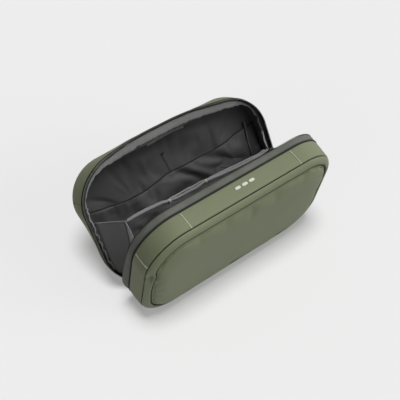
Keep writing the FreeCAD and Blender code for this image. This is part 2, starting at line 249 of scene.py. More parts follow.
def settle(obj, loose, pressure, extra, cap):
    """Lets a piece find its shape as sewn cloth. loose are the points that may move, by up to cap
    millimetres; extra is the share of cloth cut larger than its seams."""
    frames = 20
    loose = np.asarray(loose).reshape(-1, 3)
    tree = kdtree.KDTree(len(loose))
    for i, point in enumerate(loose):
        tree.insert(point, i)
    tree.balance()
    group = obj.vertex_groups.new(name="sewn")
    group.add([v.index for v in obj.data.vertices if tree.find(v.co)[2] > 1e-5], 1.0, "REPLACE")
    others = list(obj.modifiers)
    for modifier in others:
        modifier.show_viewport = False
    cloth = obj.modifiers.new("Cloth", "CLOTH")
    settings = dict(quality=6, mass=0.15, tension_stiffness=20, compression_stiffness=20,
                    shear_stiffness=8, bending_stiffness=1.2, air_damping=5, use_pressure=True,
                    uniform_pressure_force=pressure, shrink_min=-extra, shrink_max=-extra,
                    vertex_group_mass=group.name)
    for name, value in settings.items():
        setattr(cloth.settings, name, value)
    cloth.settings.effector_weights.gravity = 0
    cloth.collision_settings.use_collision = False
    cloth.point_cache.frame_start, cloth.point_cache.frame_end = 1, frames
    start = vertex_places(obj.data)
    for frame_number in range(1, frames + 1):
        bpy.context.scene.frame_set(frame_number)
    shaped = vertex_places(obj.evaluated_get(bpy.context.evaluated_depsgraph_get()).data)
    obj.modifiers.remove(cloth)
    obj.vertex_groups.remove(group)
    bpy.context.scene.frame_set(1)
    move = shaped - start
    far = np.linalg.norm(move, axis=1, keepdims=True) / (cap * MM)
    obj.data.vertices.foreach_set("co", (start + move / np.maximum(far, 1)).ravel())
    obj.data.update()
    for modifier in others:
        modifier.show_viewport = True


def vertex_places(mesh):
    """The mesh's points, one to a row."""
    places = np.empty(len(mesh.vertices) * 3)
    mesh.vertices.foreach_get("co", places)
    return places.reshape(-1, 3)


# ---- uneven cloth ----

def ripple(s, seed, waves=(5, 9, 14, 23)):
    """Smooth uneven wave round the edge, between about -1 and 1."""
    total = np.zeros_like(np.asarray(s, float))
    for i, k in enumerate(waves):
        total += np.sin(2 * math.pi * k * s / ROUND + 1.7 * seed * (i + 1) + i * i)
    return total / len(waves)


def crumple(x, y, size, seed):
    """Smooth random height over a sheet, about -1 to 1; size is the width of its folds."""
    x, y = np.broadcast_arrays(np.asarray(x, float), np.asarray(y, float))
    flat = [noise.noise(Vector((u / size, v / size, seed * 3.7))) for u, v in zip(x.ravel(), y.ravel())]
    return np.array(flat).reshape(x.shape) * 1.6


def ridge(x, h, start, end, width, height):
    """A soft fold along the line from start to end, fading at both ends."""
    start, end = np.array(start, float), np.array(end, float)
    along = end - start
    length = np.linalg.norm(along)
    along = along / length
    px, ph = x - start[0], h - start[1]
    t = (px * along[0] + ph * along[1]) / length
    off = px * along[1] - ph * along[0]
    fade = np.clip(t, 0, 1) * np.clip(1 - t, 0, 1) * 4
    return height * bell(off, 0, width) * fade


def step_up(value, low, high):
    """Rises smoothly from 0 at low to 1 at high."""
    t = np.clip((value - low) / (high - low), 0, 1)
    return t * t * (3 - 2 * t)


def bell(value, middle, width):
    """Smooth bump, 1 high at its middle."""
    return np.exp(-((value - middle) / width) ** 2)


def hump(value, middle, reach):
    """Rounded bump, 1 high at its middle and 0 beyond its reach."""
    return np.clip(1 - ((value - middle) / reach) ** 2, 0, 1)


# ---- meshes ----

def new_object(name, vertices, faces, corner_uv, slot, body):
    """A visible piece with its weave coordinates and finish, riding on a body if one is given."""
    mesh = bpy.data.meshes.new(name)
    mesh.from_pydata([tuple(v) for v in vertices], [], faces)
    layer = mesh.uv_layers.new(name="Weave")
    layer.data.foreach_set("uv", np.array(corner_uv, float).ravel())
    mesh.polygons.foreach_set("use_smooth", [True] * len(mesh.polygons))
    tidy(mesh)
    obj = bpy.data.objects.new(name, mesh)
    bpy.context.scene.collection.objects.link(obj)
    mesh.materials.append(MATERIALS[slot])
    if body:
        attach(obj, body)
    return obj


def tidy(mesh):
    """Joins points that coincide and turns all faces outwards."""
    bm = bmesh.new()
    bm.from_mesh(mesh)
    bmesh.ops.remove_doubles(bm, verts=bm.verts, dist=2e-6)
    bmesh.ops.dissolve_degenerate(bm, edges=bm.edges, dist=1e-7)
    bmesh.ops.recalc_face_normals(bm, faces=bm.faces)
    bm.to_mesh(mesh)
    bm.free()


def grid_faces(n, m, loop_rows, loop_columns):
    """Quads of an n by m grid of points, and the four (row, column) corners of each."""
    rows = n if loop_rows else n - 1
    columns = m if loop_columns else m - 1
    i, j = np.meshgrid(np.arange(rows), np.arange(columns), indexing="ij")
    i, j = i.ravel(), j.ravel()
    corners = [(i, j), (i + 1, j), (i + 1, j + 1), (i, j + 1)]
    faces = np.stack([(a % n) * m + (b % m) for a, b in corners], 1)
    return faces.tolist(), corners


def end_caps(n, m):
    """Closes the two ends of a solid swept from strips with as many points outside as inside."""
    caps = []
    for first in (0, (n - 1) * m):
        for j in range(m // 2 - 1):
            caps.append([first + j, first + j + 1, first + m - 2 - j, first + m - 1 - j])
    return caps


def skin(name, points, slot, body, uv=None, loop_rows=False, loop_columns=True, thickness=0.0):
    """A mesh through a grid of points: a solid where its sections close, else a sheet."""
    n, m = points.shape[:2]
    faces, corners = grid_faces(n, m, loop_rows, loop_columns)
    u, v = strip_lengths(points) if uv is None else uv
    corner_uv = np.stack([np.stack((u[a, b], v[a, b]), 1) for a, b in corners], 1).reshape(-1, 2)
    if loop_columns and not loop_rows:
        caps = end_caps(n, m)
        flat_u, flat_v = u[:n, :m].ravel(), v[:n, :m].ravel()
        cap_uv = [(flat_u[k], flat_v[k]) for cap in caps for k in cap]
        faces = faces + caps
        corner_uv = np.concatenate((corner_uv, np.array(cap_uv)))
    obj = new_object(name, points.reshape(-1, 3), faces, corner_uv, slot, body)
    if thickness:
        solid = obj.modifiers.new("Thickness", "SOLIDIFY")
        solid.thickness = thickness * MM
        solid.offset = 0
    return obj


def strip_lengths(points):
    """Lengths along the rows and the columns, in metres, with one more row and column to close on."""
    def lengths(p):
        closed = np.concatenate((p, p[:1]))
        steps = np.linalg.norm(np.diff(closed, axis=0), axis=2).mean(1)
        return np.concatenate(([0], np.cumsum(steps)))
    u, v = lengths(points), lengths(points.transpose(1, 0, 2))
    return np.repeat(u[:, None], len(v), 1), np.repeat(v[None, :], len(u), 0)


def sheet_grid(count_u, count_v):
    """u from -1 to 1 across a sheet and v from 0 to 1 up it."""
    return np.meshgrid(np.linspace(-1, 1, count_u), np.linspace(0, 1, count_v), indexing="ij")


def pad_uv(values):
    return np.pad(values * MM, ((0, 1), (0, 1)), mode="edge")


def flat_cloth(name, place, x, h, d, slot, body, thickness=0.5):
    """A sheet of cloth spread over local x and h, with its weave laid out flat."""
    return skin(name, place(x, h, d), slot, body, (pad_uv(x), pad_uv(h)), False, False, thickness)


def face_uv(s, a, x, h, d):
    """Weave coordinates that run round the wall at the edge, and lie flat over the face."""
    on_face = a.mean(0) > 3.5
    u = np.where(on_face, x, s[:, None]) * MM
    v = np.where(on_face, h, d) * MM
    return np.pad(u, ((0, 1), (0, 1)), mode="wrap"), np.pad(v, ((0, 1), (0, 1)), mode="wrap")


def edge_piece(name, place, body, s, a, d, slot, loop=False, section=True, thickness=0.0):
    """A piece that runs round the edge: inset a and depth d for every station s."""
    if loop:
        s = s[:-1]
    a, d = (np.broadcast_to(v if np.ndim(v) < 2 else v[:len(s)], (len(s), np.shape(v)[-1])) for v in (a, d))
    x, h = around(s[:, None], a)
    points = place(x, h, d)
    uv = None
    if a.max() > TRUE_INSET:
        uv = face_uv(s, a, x, h, d)
    elif loop or section:
        u, v = strip_lengths(points)
        u = np.repeat(np.append(s, ROUND if loop else s[-1])[:, None] * MM, u.shape[1], 1)
        uv = (u, v)
    return skin(name, points, slot, body, uv, loop, section, thickness)


def rolled(depth, low, high, radius):
    """How far a rounded edge falls away, near either side of a strip."""
    gap = np.clip(np.minimum(depth - low, high - depth), 0, radius)
    return radius - np.sqrt(np.maximum(radius ** 2 - (radius - gap) ** 2, 0))


def both_faces(values):
    """Closes a section: the values out along one face and back along the other."""
    return np.concatenate((values, values[:, ::-1]), 1)


def crowned(unit):
    """Height of a padded strip across its width, 0 at both seams and 1 in the middle."""
    return hump(unit, 0.5, 0.5) ** 0.7


def strip_section(low, high, outer, inner, puff):
    """Closed section of a padded strip between the depths low and high at each station."""
    edge = np.array((0, 0.12, 0.45, 1.0)) * WALL_RADIUS
    t = np.linspace(0, 1, 11)[1:-1]
    near = low[:, None] + edge
    far = high[:, None] - edge[::-1]
    middle = near[:, -1:] + (far[:, :1] - near[:, -1:]) * t
    depth = np.concatenate((near, middle, far), 1)
    unit = (depth - low[:, None]) / (high - low)[:, None]
    fall = rolled(depth, low[:, None], high[:, None], WALL_RADIUS)
    top = outer + np.minimum(fall, inner - outer - 0.1) - puff[:, None] * crowned(unit)
    bottom = np.full_like(depth, inner)
    return np.concatenate((top, bottom), 1), both_faces(depth)


def circle(sides):
    """Cosines and sines of evenly spaced turns round a circle."""
    turn = np.linspace(0, 2 * math.pi, sides, endpoint=False)
    return np.cos(turn), np.sin(turn)


def cord_section(a, d, radius):
    """Round section of a cord that runs round the edge."""
    c, s = circle(10)
    return a + radius * c, d + radius * s


def unit_rows(vectors):
    return vectors / np.linalg.norm(vectors, axis=1)[:, None]


def tube(name, path, radius, slot, body, sides=6):
    """A round thread along a path of points in metres."""
    tangent = unit_rows(np.gradient(path, axis=0))
    side = unit_rows(np.cross(tangent, (0.31, 0.87, 0.38)))      # any way that no thread runs along
    other = np.cross(tangent, side)
    c, s = circle(sides)
    ring = c[None, :, None] * side[:, None] + s[None, :, None] * other[:, None]
    points = path[:, None] + ring * np.reshape(radius, (-1, 1, 1)) * MM
    return skin(name, points, slot, body)


def many(name, solids, slot, body):
    """One object of many small closed grids of points."""
    vertices, faces, uvs = [], [], []
    for points in solids:
        n, m = points.shape[:2]
        base = sum(len(v) for v in vertices)
        quads = grid_faces(n, m, False, True)[0] + end_caps(n, m)
        vertices.append(points.reshape(-1, 3))
        faces += [[base + k for k in f] for f in quads]
        u, v = strip_lengths(points)
        flat = np.stack((u[:n, :m].ravel(), v[:n, :m].ravel()), 1)
        uvs += [flat[k] for f in quads for k in f]
    return new_object(name, np.concatenate(vertices), faces, uvs, slot, body)


def stitch(start, end, out, radius, lift):
    """Points of one thread stitch from start to end, arched a little off the cloth."""
    start, end, out = (np.asarray(v, float) for v in (start, end, out))
    t = np.linspace(0, 1, 6)
    along = (end - start) / np.linalg.norm(end - start)
    out = out / np.linalg.norm(out)
    side = np.cross(along, out)
    middle = start + (end - start) * t[:, None] + out * (lift * MM * np.sin(math.pi * t))[:, None]
    thick = radius * MM * (0.25 + 0.75 * np.sin(math.pi * np.clip(t, 0.04, 0.96)) ** 0.5)
    c, s = circle(6)
    ring = c[None, :, None] * side + s[None, :, None] * out
    return middle[:, None] + ring * thick[:, None, None]


# ---- materials ----

def feed(tree, socket, value):
    """Gives a socket its value, or links it to another socket."""
    if isinstance(value, bpy.types.NodeSocket):
        tree.links.new(value, socket)
    else:
        socket.default_value = value


def node(tree, kind, **inputs):
    """A new shader node, and its first output."""
    made = tree.nodes.new("ShaderNode" + kind)
    for name, value in inputs.items():
        feed(tree, made.inputs[name], value)
    return made.outputs[0]


def calc(tree, operation, *values, kind="Math"):
    """The result of a sum or a product of numbers, or of a vector scaled."""
    made = tree.nodes.new("ShaderNode" + kind)
    made.operation = operation
    for index, value in zip((0, 1) if kind == "Math" else (0, "Scale"), values):
        feed(tree, made.inputs[index], value)
    return made.outputs[0]


def cloud(tree, scale, detail):
    """Noise in the piece's own coordinates, from about 0 to 1."""
    place = tree.nodes.new("ShaderNodeTexCoord").outputs["Object"]
    return node(tree, "TexNoise", Scale=scale, Detail=detail, Vector=place)


def weave_height(tree, period, ribs):
    """Height of a plain weave, or of ribs across a ribbon, from the Weave coordinates in metres."""
    uv = tree.nodes.new("ShaderNodeUVMap")
    uv.uv_map = "Weave"
    split = tree.nodes.new("ShaderNodeSeparateXYZ")
    tree.links.new(uv.outputs[0], split.inputs[0])
    turns = 2 * math.pi / (period * MM)

    def wave(axis):
        return calc(tree, "SINE", calc(tree, "MULTIPLY", split.outputs[axis], turns))
    return wave(0) if ribs else calc(tree, "MULTIPLY", wave(0), wave(1))


def finish_material(slot, looks):
    """A material whose shader takes each of the looks, given as numbers or as sockets of its tree."""
    material = bpy.data.materials.new(slot)
    material.use_nodes = True
    tree = material.node_tree
    for name, value in looks(tree).items():
        feed(tree, tree.nodes["Principled BSDF"].inputs[name], value)
    return material


def cloth(slot, colour, rough=0.85, sheen=0.2, period=0.6, depth=0.05, ribs=False, mottle=0.12,
          fleck=0.1, crease=0.0, specular=0.25):
    """Woven cloth: weave in colour and bump, soft mottling, fine flecks, and sheen."""
    def looks(tree):
        height = weave_height(tree, period, ribs)
        patches = calc(tree, "SUBTRACT", cloud(tree, 22, 4), 0.5)
        flecks = calc(tree, "SUBTRACT", cloud(tree, 1400, 3), 0.5)
        shade = calc(tree, "ADD", calc(tree, "MULTIPLY", patches, 2 * mottle),
                     calc(tree, "MULTIPLY", flecks, 2 * fleck))
        shade = calc(tree, "ADD", shade, calc(tree, "MULTIPLY", height, 0.06))
        bump = node(tree, "Bump", Strength=0.6, Distance=depth * MM, Height=height)
        if crease:
            bump = node(tree, "Bump", Strength=0.5, Distance=crease * MM, Height=cloud(tree, 90, 5),
                        Normal=bump)
        return {"Base Color": calc(tree, "SCALE", colour, calc(tree, "ADD", shade, 1.0), kind="VectorMath"),
                "Roughness": calc(tree, "ADD", calc(tree, "MULTIPLY", flecks, 0.16), rough),
                "Normal": bump, "Sheen Weight": sheen, "Sheen Roughness": 0.45,
                "Specular IOR Level": specular}
    return finish_material(slot, looks)


def hard(slot, colour, rough, metal=0.0):
    """Moulded plastic or cast metal with fine wear."""
    def looks(tree):
        grain = cloud(tree, 500, 4)
        shade = calc(tree, "ADD", calc(tree, "MULTIPLY", grain, 0.3), 0.85)
        return {"Base Color": calc(tree, "SCALE", colour, shade, kind="VectorMath"),
                "Roughness": calc(tree, "ADD", calc(tree, "MULTIPLY", grain, 0.2), rough - 0.1),
                "Normal": node(tree, "Bump", Strength=0.3, Distance=0.02 * MM, Height=grain),
                "Metallic": metal}
    return finish_material(slot, looks)


SHELL_COLOUR = (0.105, 0.116, 0.069)
LOOKS = {
    "shell_fabric": (cloth, dict(colour=SHELL_COLOUR, rough=0.72, sheen=0.045, period=0.7, depth=0.03,
                                 mottle=0.05, fleck=0.06, specular=0.18)),
    "lining_fabric": (cloth, dict(colour=(0.028, 0.028, 0.029), rough=0.65, sheen=0.05, period=0.5,
                                  depth=0.04, crease=0.5)),
    # A lighter copy of the lining cloth, as painted light: the divider and the back folding ends sit in
    # shade between the halves.
    "divider_fabric": (cloth, dict(colour=(0.073, 0.073, 0.075), rough=0.65, sheen=0.05, period=0.5,
                                   depth=0.04, mottle=0.14, crease=0.5)),
    "edge_binding": (cloth, dict(colour=(0.150, 0.150, 0.147), rough=0.9, sheen=0.1, period=0.9,
                                 depth=0.12, ribs=True, mottle=0.35, fleck=0.5)),
    "elastic": (cloth, dict(colour=(0.135, 0.135, 0.137), rough=0.9, sheen=0.1, period=0.8,
                            depth=0.12, ribs=True, mottle=0.25, fleck=0.4)),
    "zip_tape": (cloth, dict(colour=(0.070, 0.072, 0.062), rough=0.8, sheen=0.05, period=0.8,
                             depth=0.1, ribs=True, mottle=0.4, fleck=0.5)),
    "dark_trim": (cloth, dict(colour=(0.009, 0.010, 0.008), rough=0.9, sheen=0.05, mottle=0.1)),
    "pale_thread": (cloth, dict(colour=(0.30, 0.31, 0.24), rough=0.7, period=0.4, ribs=True, mottle=0.05)),
    "pale_print": (cloth, dict(colour=(0.36, 0.37, 0.32), rough=0.6, sheen=0.0, period=0.7, depth=0.02,
                               mottle=0.05)),
    "label": (cloth, dict(colour=(0.085, 0.085, 0.082), rough=0.75, period=0.4, depth=0.04)),
    "pull_tab": (cloth, dict(colour=SHELL_COLOUR, rough=0.6, sheen=0.1, depth=0.04)),
    "zip_coil": (hard, dict(colour=(0.016, 0.016, 0.015), rough=0.45)),
    "zip_metal": (hard, dict(colour=(0.10, 0.10, 0.10), rough=0.35, metal=0.9)),
}
MATERIALS = {slot: make(slot, **look) for slot, (make, look) in LOOKS.items()}


# ---- walls, zip and seams of both halves ----

def rim_runs(side, s0, s1, ends=("_left", "_right")):
    """A piece round the rim in one run, or, on the back half, in as many as three, cut where the arched run
    starts and ends.
    """
    if side == "front":
        return [("", s0, s1)]
    low, high = ARCH_RUN
    runs = ((ends[0], s0, min(s1, low)), ("_top", max(s0, low), min(s1, high)), (ends[1], max(s0, high), s1))
    return [run for run in runs if run[1] < run[2]]


def lie_flat(obj):
    """Gives a piece on the arched run of the back rim a mesh of its own."""
    low, high = flat_back(0.0, 128.0, 0.0), flat_back(0.0, 129.5, 33.0)
    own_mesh(obj)


def band_piece(side, name, s0, s1, low, high, puff, seed):
    """One band of the side wall, rounded at its sewn ends. low and high are depths along s."""
    extra = np.array((0.1, 0.4, 1.0))
    s = np.unique(np.round(np.concatenate((stations(s0, s1), s0 + extra, s1 - extra)), 4))
    past = [5 if cut in ARCH_RUN else 0 for cut in (s0, s1)]
    ends = rolled(s, s0 - past[0], s1 + past[1], 1.0) * 0.45
    swell = puff * (1 + 0.35 * ripple(s, seed))
    a, d = strip_section(low(s), high(s), 0.0, WALL_IN, swell)
    a[:, :a.shape[1] // 2] += ends[:, None]
    obj = edge_piece(side + "_" + name, *HALVES[side], s, a, d, "shell_fabric")
    return obj


def wall(side, rim_end, face_end, puff):
    """The side wall as six bands: base, two ends, two upper corners and the top."""
    def low(s):
        h = rim(s)[1]
        return rim_end - (rim_end - 2.6) * (1 - step_up(h, ZIP_END_H - 2, ZIP_END_H + 7))

    def high(s):
        return face_end(rim(s)[1])

    bands = [("base", station_at_height(BASE_H, 1) - ROUND, station_at_height(BASE_H, -1))]
    for end, sign in SIDES:
        joint = station_at_height(BAND_H, sign)
        bands.append(("wall_end_" + end, *sorted((station_at_height(BASE_H, sign), joint))))
        bands.append(("wall_corner_" + end, *sorted((joint, TOP_MIDDLE + sign * BAND_X))))
    bands.append(("wall_top", TOP_MIDDLE - BAND_X, TOP_MIDDLE + BAND_X))
    for name, s0, s1 in bands:
        for run, first, last in rim_runs(side, s0, s1, ("", "")):
            band = band_piece(side, name + "_cloth" + run, first, last, low, high, puff, len(name))
            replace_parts(band, side + "_" + name)
            if run == "_top":
                lie_flat(band)


def coil(name, place, body, s0, s1):
    """The zip's coil: one thread wound in a flattened helix along the rim."""
    s = np.linspace(s0, s1, int((s1 - s0) / COIL_PITCH * 8))
    turn = 2 * math.pi * s / COIL_PITCH
    x, h = around(s, COIL_A + 0.62 * np.cos(turn))
    return tube(name, place(x, h, COIL_D + 0.55 * np.sin(turn)), 0.26, "zip_coil", body, sides=5)


def zip_half(side, tape_end):
    """Tape, coil, a near-black cord as painted shade in the gap where the tape meets the wall, and the
    tape's inner face.
    """
    half = HALVES[side]
    s0, s1 = station_at_height(ZIP_END_H - 1, -1), station_at_height(ZIP_END_H - 1, 1)
    t = np.linspace(0, 1, 12)
    depth = 1.9 + (tape_end - 0.7) * t
    outer = 0.75 - 0.75 * np.sin(math.pi * np.clip(t * 1.25, 0, 1)) ** 0.8 + 0.5 * (t > 0.95)
    seam_shade_a, seam_shade_d = cord_section(0.35, tape_end - 0.1, 1.15)
    for run, first, last in rim_runs(side, s0, s1):
        s = stations(first, last, 2.5)
        wobble = 0.25 * ripple(s, 3, (13, 21, 34, 47))
        x, h = rim(s)[:2]
        curl = (side == "front") * step_up(-x, 60, 100) * (1 - step_up(h, 50, 100))
        fold = curl[:, None] * (1 - t)
        a = outer + wobble[:, None] * np.sin(math.pi * t) - 2.2 * fold
        a = np.concatenate((a, np.full_like(a, 1.35)), 1)
        tape = edge_piece(side + "_tape_cloth" + run, *half, s, a, both_faces(depth - 1.3 * fold),
                          "zip_tape")
        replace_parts(tape, side + "_zip_tape")
        thread = coil(side + "_coil_thread" + run, *half, max(first, s0 + 1), min(last, s1 - 1))
        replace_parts(thread, side + "_zip_coil")
        s = stations(max(first, s0 + 2), min(last, s1 - 2), 2.5)
        # Near-black cord laid in the gap between tape and wall: painted shade for the shadow in that gap.
        tape_seam_shade = edge_piece(side + "_tape_piping" + run, *half, s, seam_shade_a + 0.12 * ripple(s, 6)[:, None],
                            seam_shade_d, "dark_trim")
        inner = edge_piece(side + "_inner_tape" + run, *half, s, np.array((1.45, 1.45, 1.9, 1.9)),
                           np.array((2.3, 6.8, 6.8, 2.3)), "dark_trim")
        if run == "_top":
            for piece in (tape, thread, tape_seam_shade, inner):
                lie_flat(piece)


def seam_cord(side, a, depth):
    """Dark cord sewn into the seam round the face."""
    s = stations()
    turn_a, turn_d = cord_section(a, 0.3, 0.55)
    d = depth(rim(s)[1])[:, None] + turn_d
    cord = edge_piece(side + "_seam_piping", *HALVES[side], s, turn_a, d, "dark_trim", loop=True)
    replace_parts(cord, side + "_seam_cord")


def level(depth):
    """A depth that is the same at every height."""
    return lambda h: np.full_like(h, depth)


# ---- front face: the exterior pocket ----

def front_pocket():
    """Padded border with a dent at its left end, a near-black cord inside it as painted shade in the groove
    round the panel, and the crowned panel.
    """
    s = stations(step=1.8)
    dent = station_at_height(86, -1)
    dimple = 0.8 * bell(s, dent, 12) + 2.2 * bell(s, dent, 6)
    uneven = 0.18 * ripple(s, 2)
    outer_a = np.array((2.4, 1.2, 0.75, 0.9, 1.8, 3.2, 4.7, 6.1, 7.2, 7.9, 8.2, 8.1, 7.0, 5.0, 4.0, 3.0))
    outer_d = np.array((30.7, 30.7, 31.0, 31.7, 32.8, 33.9, 34.8, 35.35, 35.5, 35.2, 34.4, 32.6, 31.2, 31.0,
                        30.8, 30.7))
    weight = np.clip((outer_d - 31) / 4, 0, 1)
    a = outer_a + (dimple + uneven)[:, None] * weight * (outer_a < 5)
    a += seam_wave(s)[:, None] * step_up(outer_a, 3, 7) * (weight > 0)
    d = outer_d - 1.2 * dimple[:, None] * np.clip(1 - np.abs(outer_a - 3.8) / 4, 0, 1)
    border = edge_piece("front_pocket_border_roll", *HALVES["front"], s, a, d, "shell_fabric", loop=True)
    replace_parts(border, "front_pocket_border")
    # Near-black cord in the groove between border and panel: painted shade for the dark groove.
    turn_a, turn_d = cord_section(8.6, 34.95, 0.48)
    edge_piece("front_panel_seam_piping", *HALVES["front"], s, turn_a + seam_wave(s)[:, None], turn_d,
               "dark_trim", loop=True)
    dome("front_pocket_panel_cloth", "front", 9.3, level(33.6), 1.9, 2.1,
         ("front_pocket_panel", "front_pocket_padding", "front_pocket_lining", "front_stiffener"), 11,
         seam_wave)


def seam_wave(s):
    """How far the seam round the pocket panel wanders inwards, at the lower part of the left end."""
    return 2.0 * bell(s, station_at_height(87, -1), 6) - 1.6 * bell(s, station_at_height(60, -1), 14)


def dome(name, side, edge, base, lip, crown, nodes, seed, wave=None):
    """A padded panel: rounded lip at its edge, then a low crown; closed underneath."""
    place, body = HALVES[side]
    s = stations()
    rise = np.array((0, 0.15, 0.45, 1.0)) * lip
    top = np.concatenate((edge + rise, np.array((1.5, 3, 5, 8, 12, 17, 23, 30, 38, 46)) + edge,
                          (HEIGHT / 2,)))
    away = top - edge
    lift = lip - rolled(away, 0, 200, lip) + crown * (1 - np.exp(-away / 7))
    under = np.array((HEIGHT / 2, 30, edge + 3, edge + 0.4))
    a = np.concatenate((top[::-1], under[::-1]))
    raised = np.concatenate((lift[::-1], np.zeros(len(under))))
    wander = wave(s)[:, None] * np.exp(-np.maximum(a - edge, 0) / 6) if wave else np.zeros((len(s), 1))
    x, h = around(s[:-1, None], (a + wander)[:-1])
    soft = crumple(x, h, 34, seed) * 0.35 + crumple(x, h, 12, seed + 1) * 0.06
    soft = soft * np.clip((a - edge) / 10, 0, 1) * (raised > 0)
    d = base(h) + raised + soft
    obj = edge_piece(name, place, body, s, a + wander, d, "shell_fabric", loop=True, section=False)
    free = (a > edge + 1.0) & (raised > 0)
    settle(obj, place(x[:, free], h[:, free], d[:, free]), 3.0, 0.012, 2.5)
    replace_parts(obj, *nodes)


STITCH, STITCH_PITCH = 1.9, 2.3


def front_details():
    """Bar stitches over the joints of the bands, and a plain printed mark of three dashes."""
    bars = []
    for s in (TOP_MIDDLE - BAND_X, TOP_MIDDLE + BAND_X, station_at_height(BAND_H, -1),
              station_at_height(BAND_H, 1)):
        for d in np.arange(12.0, 28.6, STITCH_PITCH):
            depth = np.array((d, d + STITCH))
            start, end = place_front(*around(np.array((s, s)), puffed(depth) + 0.1), depth)
            under = place_front(*around(s, 2.0), d)
            bars.append(stitch(start, end, start - under, 0.75, 0.2))
    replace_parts(many("front_bar_stitches", bars, "pale_thread", "front_half"), "front_stitch_bars")
    dashes = []
    for x0 in (-7.5, 0.9, 9.3):
        dashes.append(printed_dash(x0, x0 + 6.4, 17.0, 20.2))
    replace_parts(many("front_printed_dashes", dashes, "pale_print", "front_half"), "front_plain_mark")


def puffed(d):
    """Inset of the front wall's outer face at depth d, where it swells between its seams."""
    low, high = TAPE_FRONT_END + TAPE_LAP, DEPTH_FRONT - 0.5
    return -FRONT_PUFF * crowned(np.clip((d - low) / (high - low), 0, 1))


def printed_dash(x0, x1, d0, d1):
    """A thin printed dash with round ends, lying on the puffed top wall."""
    x = np.linspace(x0, x1, 9)
    reach = (d1 - d0) / 2
    inset = np.minimum(x - x0, x1 - x)
    half = np.sqrt(np.maximum(reach ** 2 - np.maximum(reach - inset, 0) ** 2, 0.15))
    t = np.array((-1, -0.5, 0, 0.5, 1))
    d = (d0 + d1) / 2 + half[:, None] * t
    top = HEIGHT - puffed(d) + 0.12 + SWELL_AT_TOP
    solid = np.concatenate((np.stack((d, top), 2), np.stack((d, top - 0.3), 2)[:, ::-1]), 1)
    return place_front(np.repeat(x[:, None], 10, 1), solid[:, :, 1], solid[:, :, 0])


# ---- lining, bindings and pockets ----

def lining_folds(x, h, seed):
    """How far the loose lining stands off its wall."""
    large = crumple(x, h, 52, seed + 9) * 1.4 + crumple(x, h, 26, seed) * 1.2
    return np.maximum(large + crumple(x, h, 11, seed + 5) * 0.4, -0.4)


def lining(side, place, floor, seed):
    """Loose lining tray: side wall from the rim down, round the corner and over the floor."""
    s = stations(step=2.5)
    down = np.linspace(0, 1, 9)
    rows = len(down)
    a = np.concatenate((np.full(rows, LINING_A),
                        (3.2, 5, 8, 12, 17, 22, 28, 34, 40, 46, 52, 58, HEIGHT / 2)))
    x, h = around(s[:-1, None], a)
    d = floor(h)
    d[:, :rows] = LINING_START + (d[:, :rows] - 1.6 - LINING_START) * down
    d[:, rows] -= 0.5
    d -= lining_folds(x, h, seed) * np.clip((a - 3) / 9, 0, 1)
    bag = (0.9 + crumple(s[:-1, None], d[:, :rows], 13, seed + 2) * 1.6) * np.sin(math.pi * down) ** 0.7
    a = np.broadcast_to(a, x.shape).copy()
    a[:, :rows] += np.maximum(bag, 0)
    obj = edge_piece(side + "_lining_cloth", place, side + "_half", s, a, d, "lining_fabric", loop=True,
                     section=False, thickness=0.5)
    under_tab = (np.abs(x + 4) < 9) & (h > 78) & (h < 112)
    free = (d > LINING_START + 1.5) & (a < HEIGHT / 2 - 6) & ~under_tab
    settle(obj, place(x[free], h[free], d[free]), -1.0, 0.03, 2.2)
    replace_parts(obj, side + "_lining")
    wall_depth = floor(h[:, 0]).mean() - LINING_START


def turned_edge(side, name, run, s0, s1, width, start_d, slope, rough, wave=0.0):
    """Bound edge turned in from the rim: a soft gathered band, uneven along its free side."""
    s = stations(s0, s1, 1.2)
    reach = width(s) + rough * ripple(s, 7, (31, 47, 71, 103))
    t = np.array((0.0, 0.03, 0.12, 0.3, 0.5, 0.7, 0.88, 0.97, 1.0))
    half = 0.12 + 0.75 * (1 - (2 * t - 1) ** 4) ** 0.6
    gather = (0.45 * rough * ripple(s, 5, (59, 97, 137, 181))[:, None] * t
              + 0.3 * rough * ripple(s, 9)[:, None])
    a = 2.2 + wave * (0.7 + ripple(s, 4, (41, 59, 77)))[:, None] + reach[:, None] * t
    d = start_d(s)[:, None] + slope * reach[:, None] * t + gather
    d = np.concatenate((d - half, (d + half)[:, ::-1]), 1)
    obj = edge_piece(name + "_roll" + run, *HALVES[side], s, both_faces(a + 0.3 * gather), d,
                     "edge_binding")
    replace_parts(obj, name)
    if run == "_top":
        lie_flat(obj)


def bindings():
    """Bound edges turned in along the front rim, the back rim's top and its two ends."""
    turned_edge("front", "front_rim_binding", "", station_at_height(ZIP_END_H, -1),
                station_at_height(ZIP_END_H, 1), level(2.2), level(4.4), 0.9, 0.5)
    low, high = station_at_height(SIDE_EDGE_TOP, -1), station_at_height(SIDE_EDGE_TOP, 1)
    left, right = SIDE_EDGE_D["left"], SIDE_EDGE_D["right"]
    for run, first, last in rim_runs("back", low, high):
        turned_edge("back", "back_rim_binding", run, first, last,
                    lambda s: 1.6 + 5.8 * step_up(s - low, 8, 80) * step_up(high - s, 22, 46),
                    lambda s: left + (right - left) * step_up(s, high - 60, high), 0.28, 0.8,
                    0.6 if run == "_right" else 0.0)
    for side, sign in SIDES:
        ends = sorted((station_at_height(ZIP_END_H, sign), station_at_height(SIDE_EDGE_TOP - 0.5, sign)))
        turned_edge("back", "back_side_binding_" + side, "", *ends, level(SIDE_EDGE_WIDE[side]),
                    level(SIDE_EDGE_D[side]), 0.3, 0.7, 1.2)


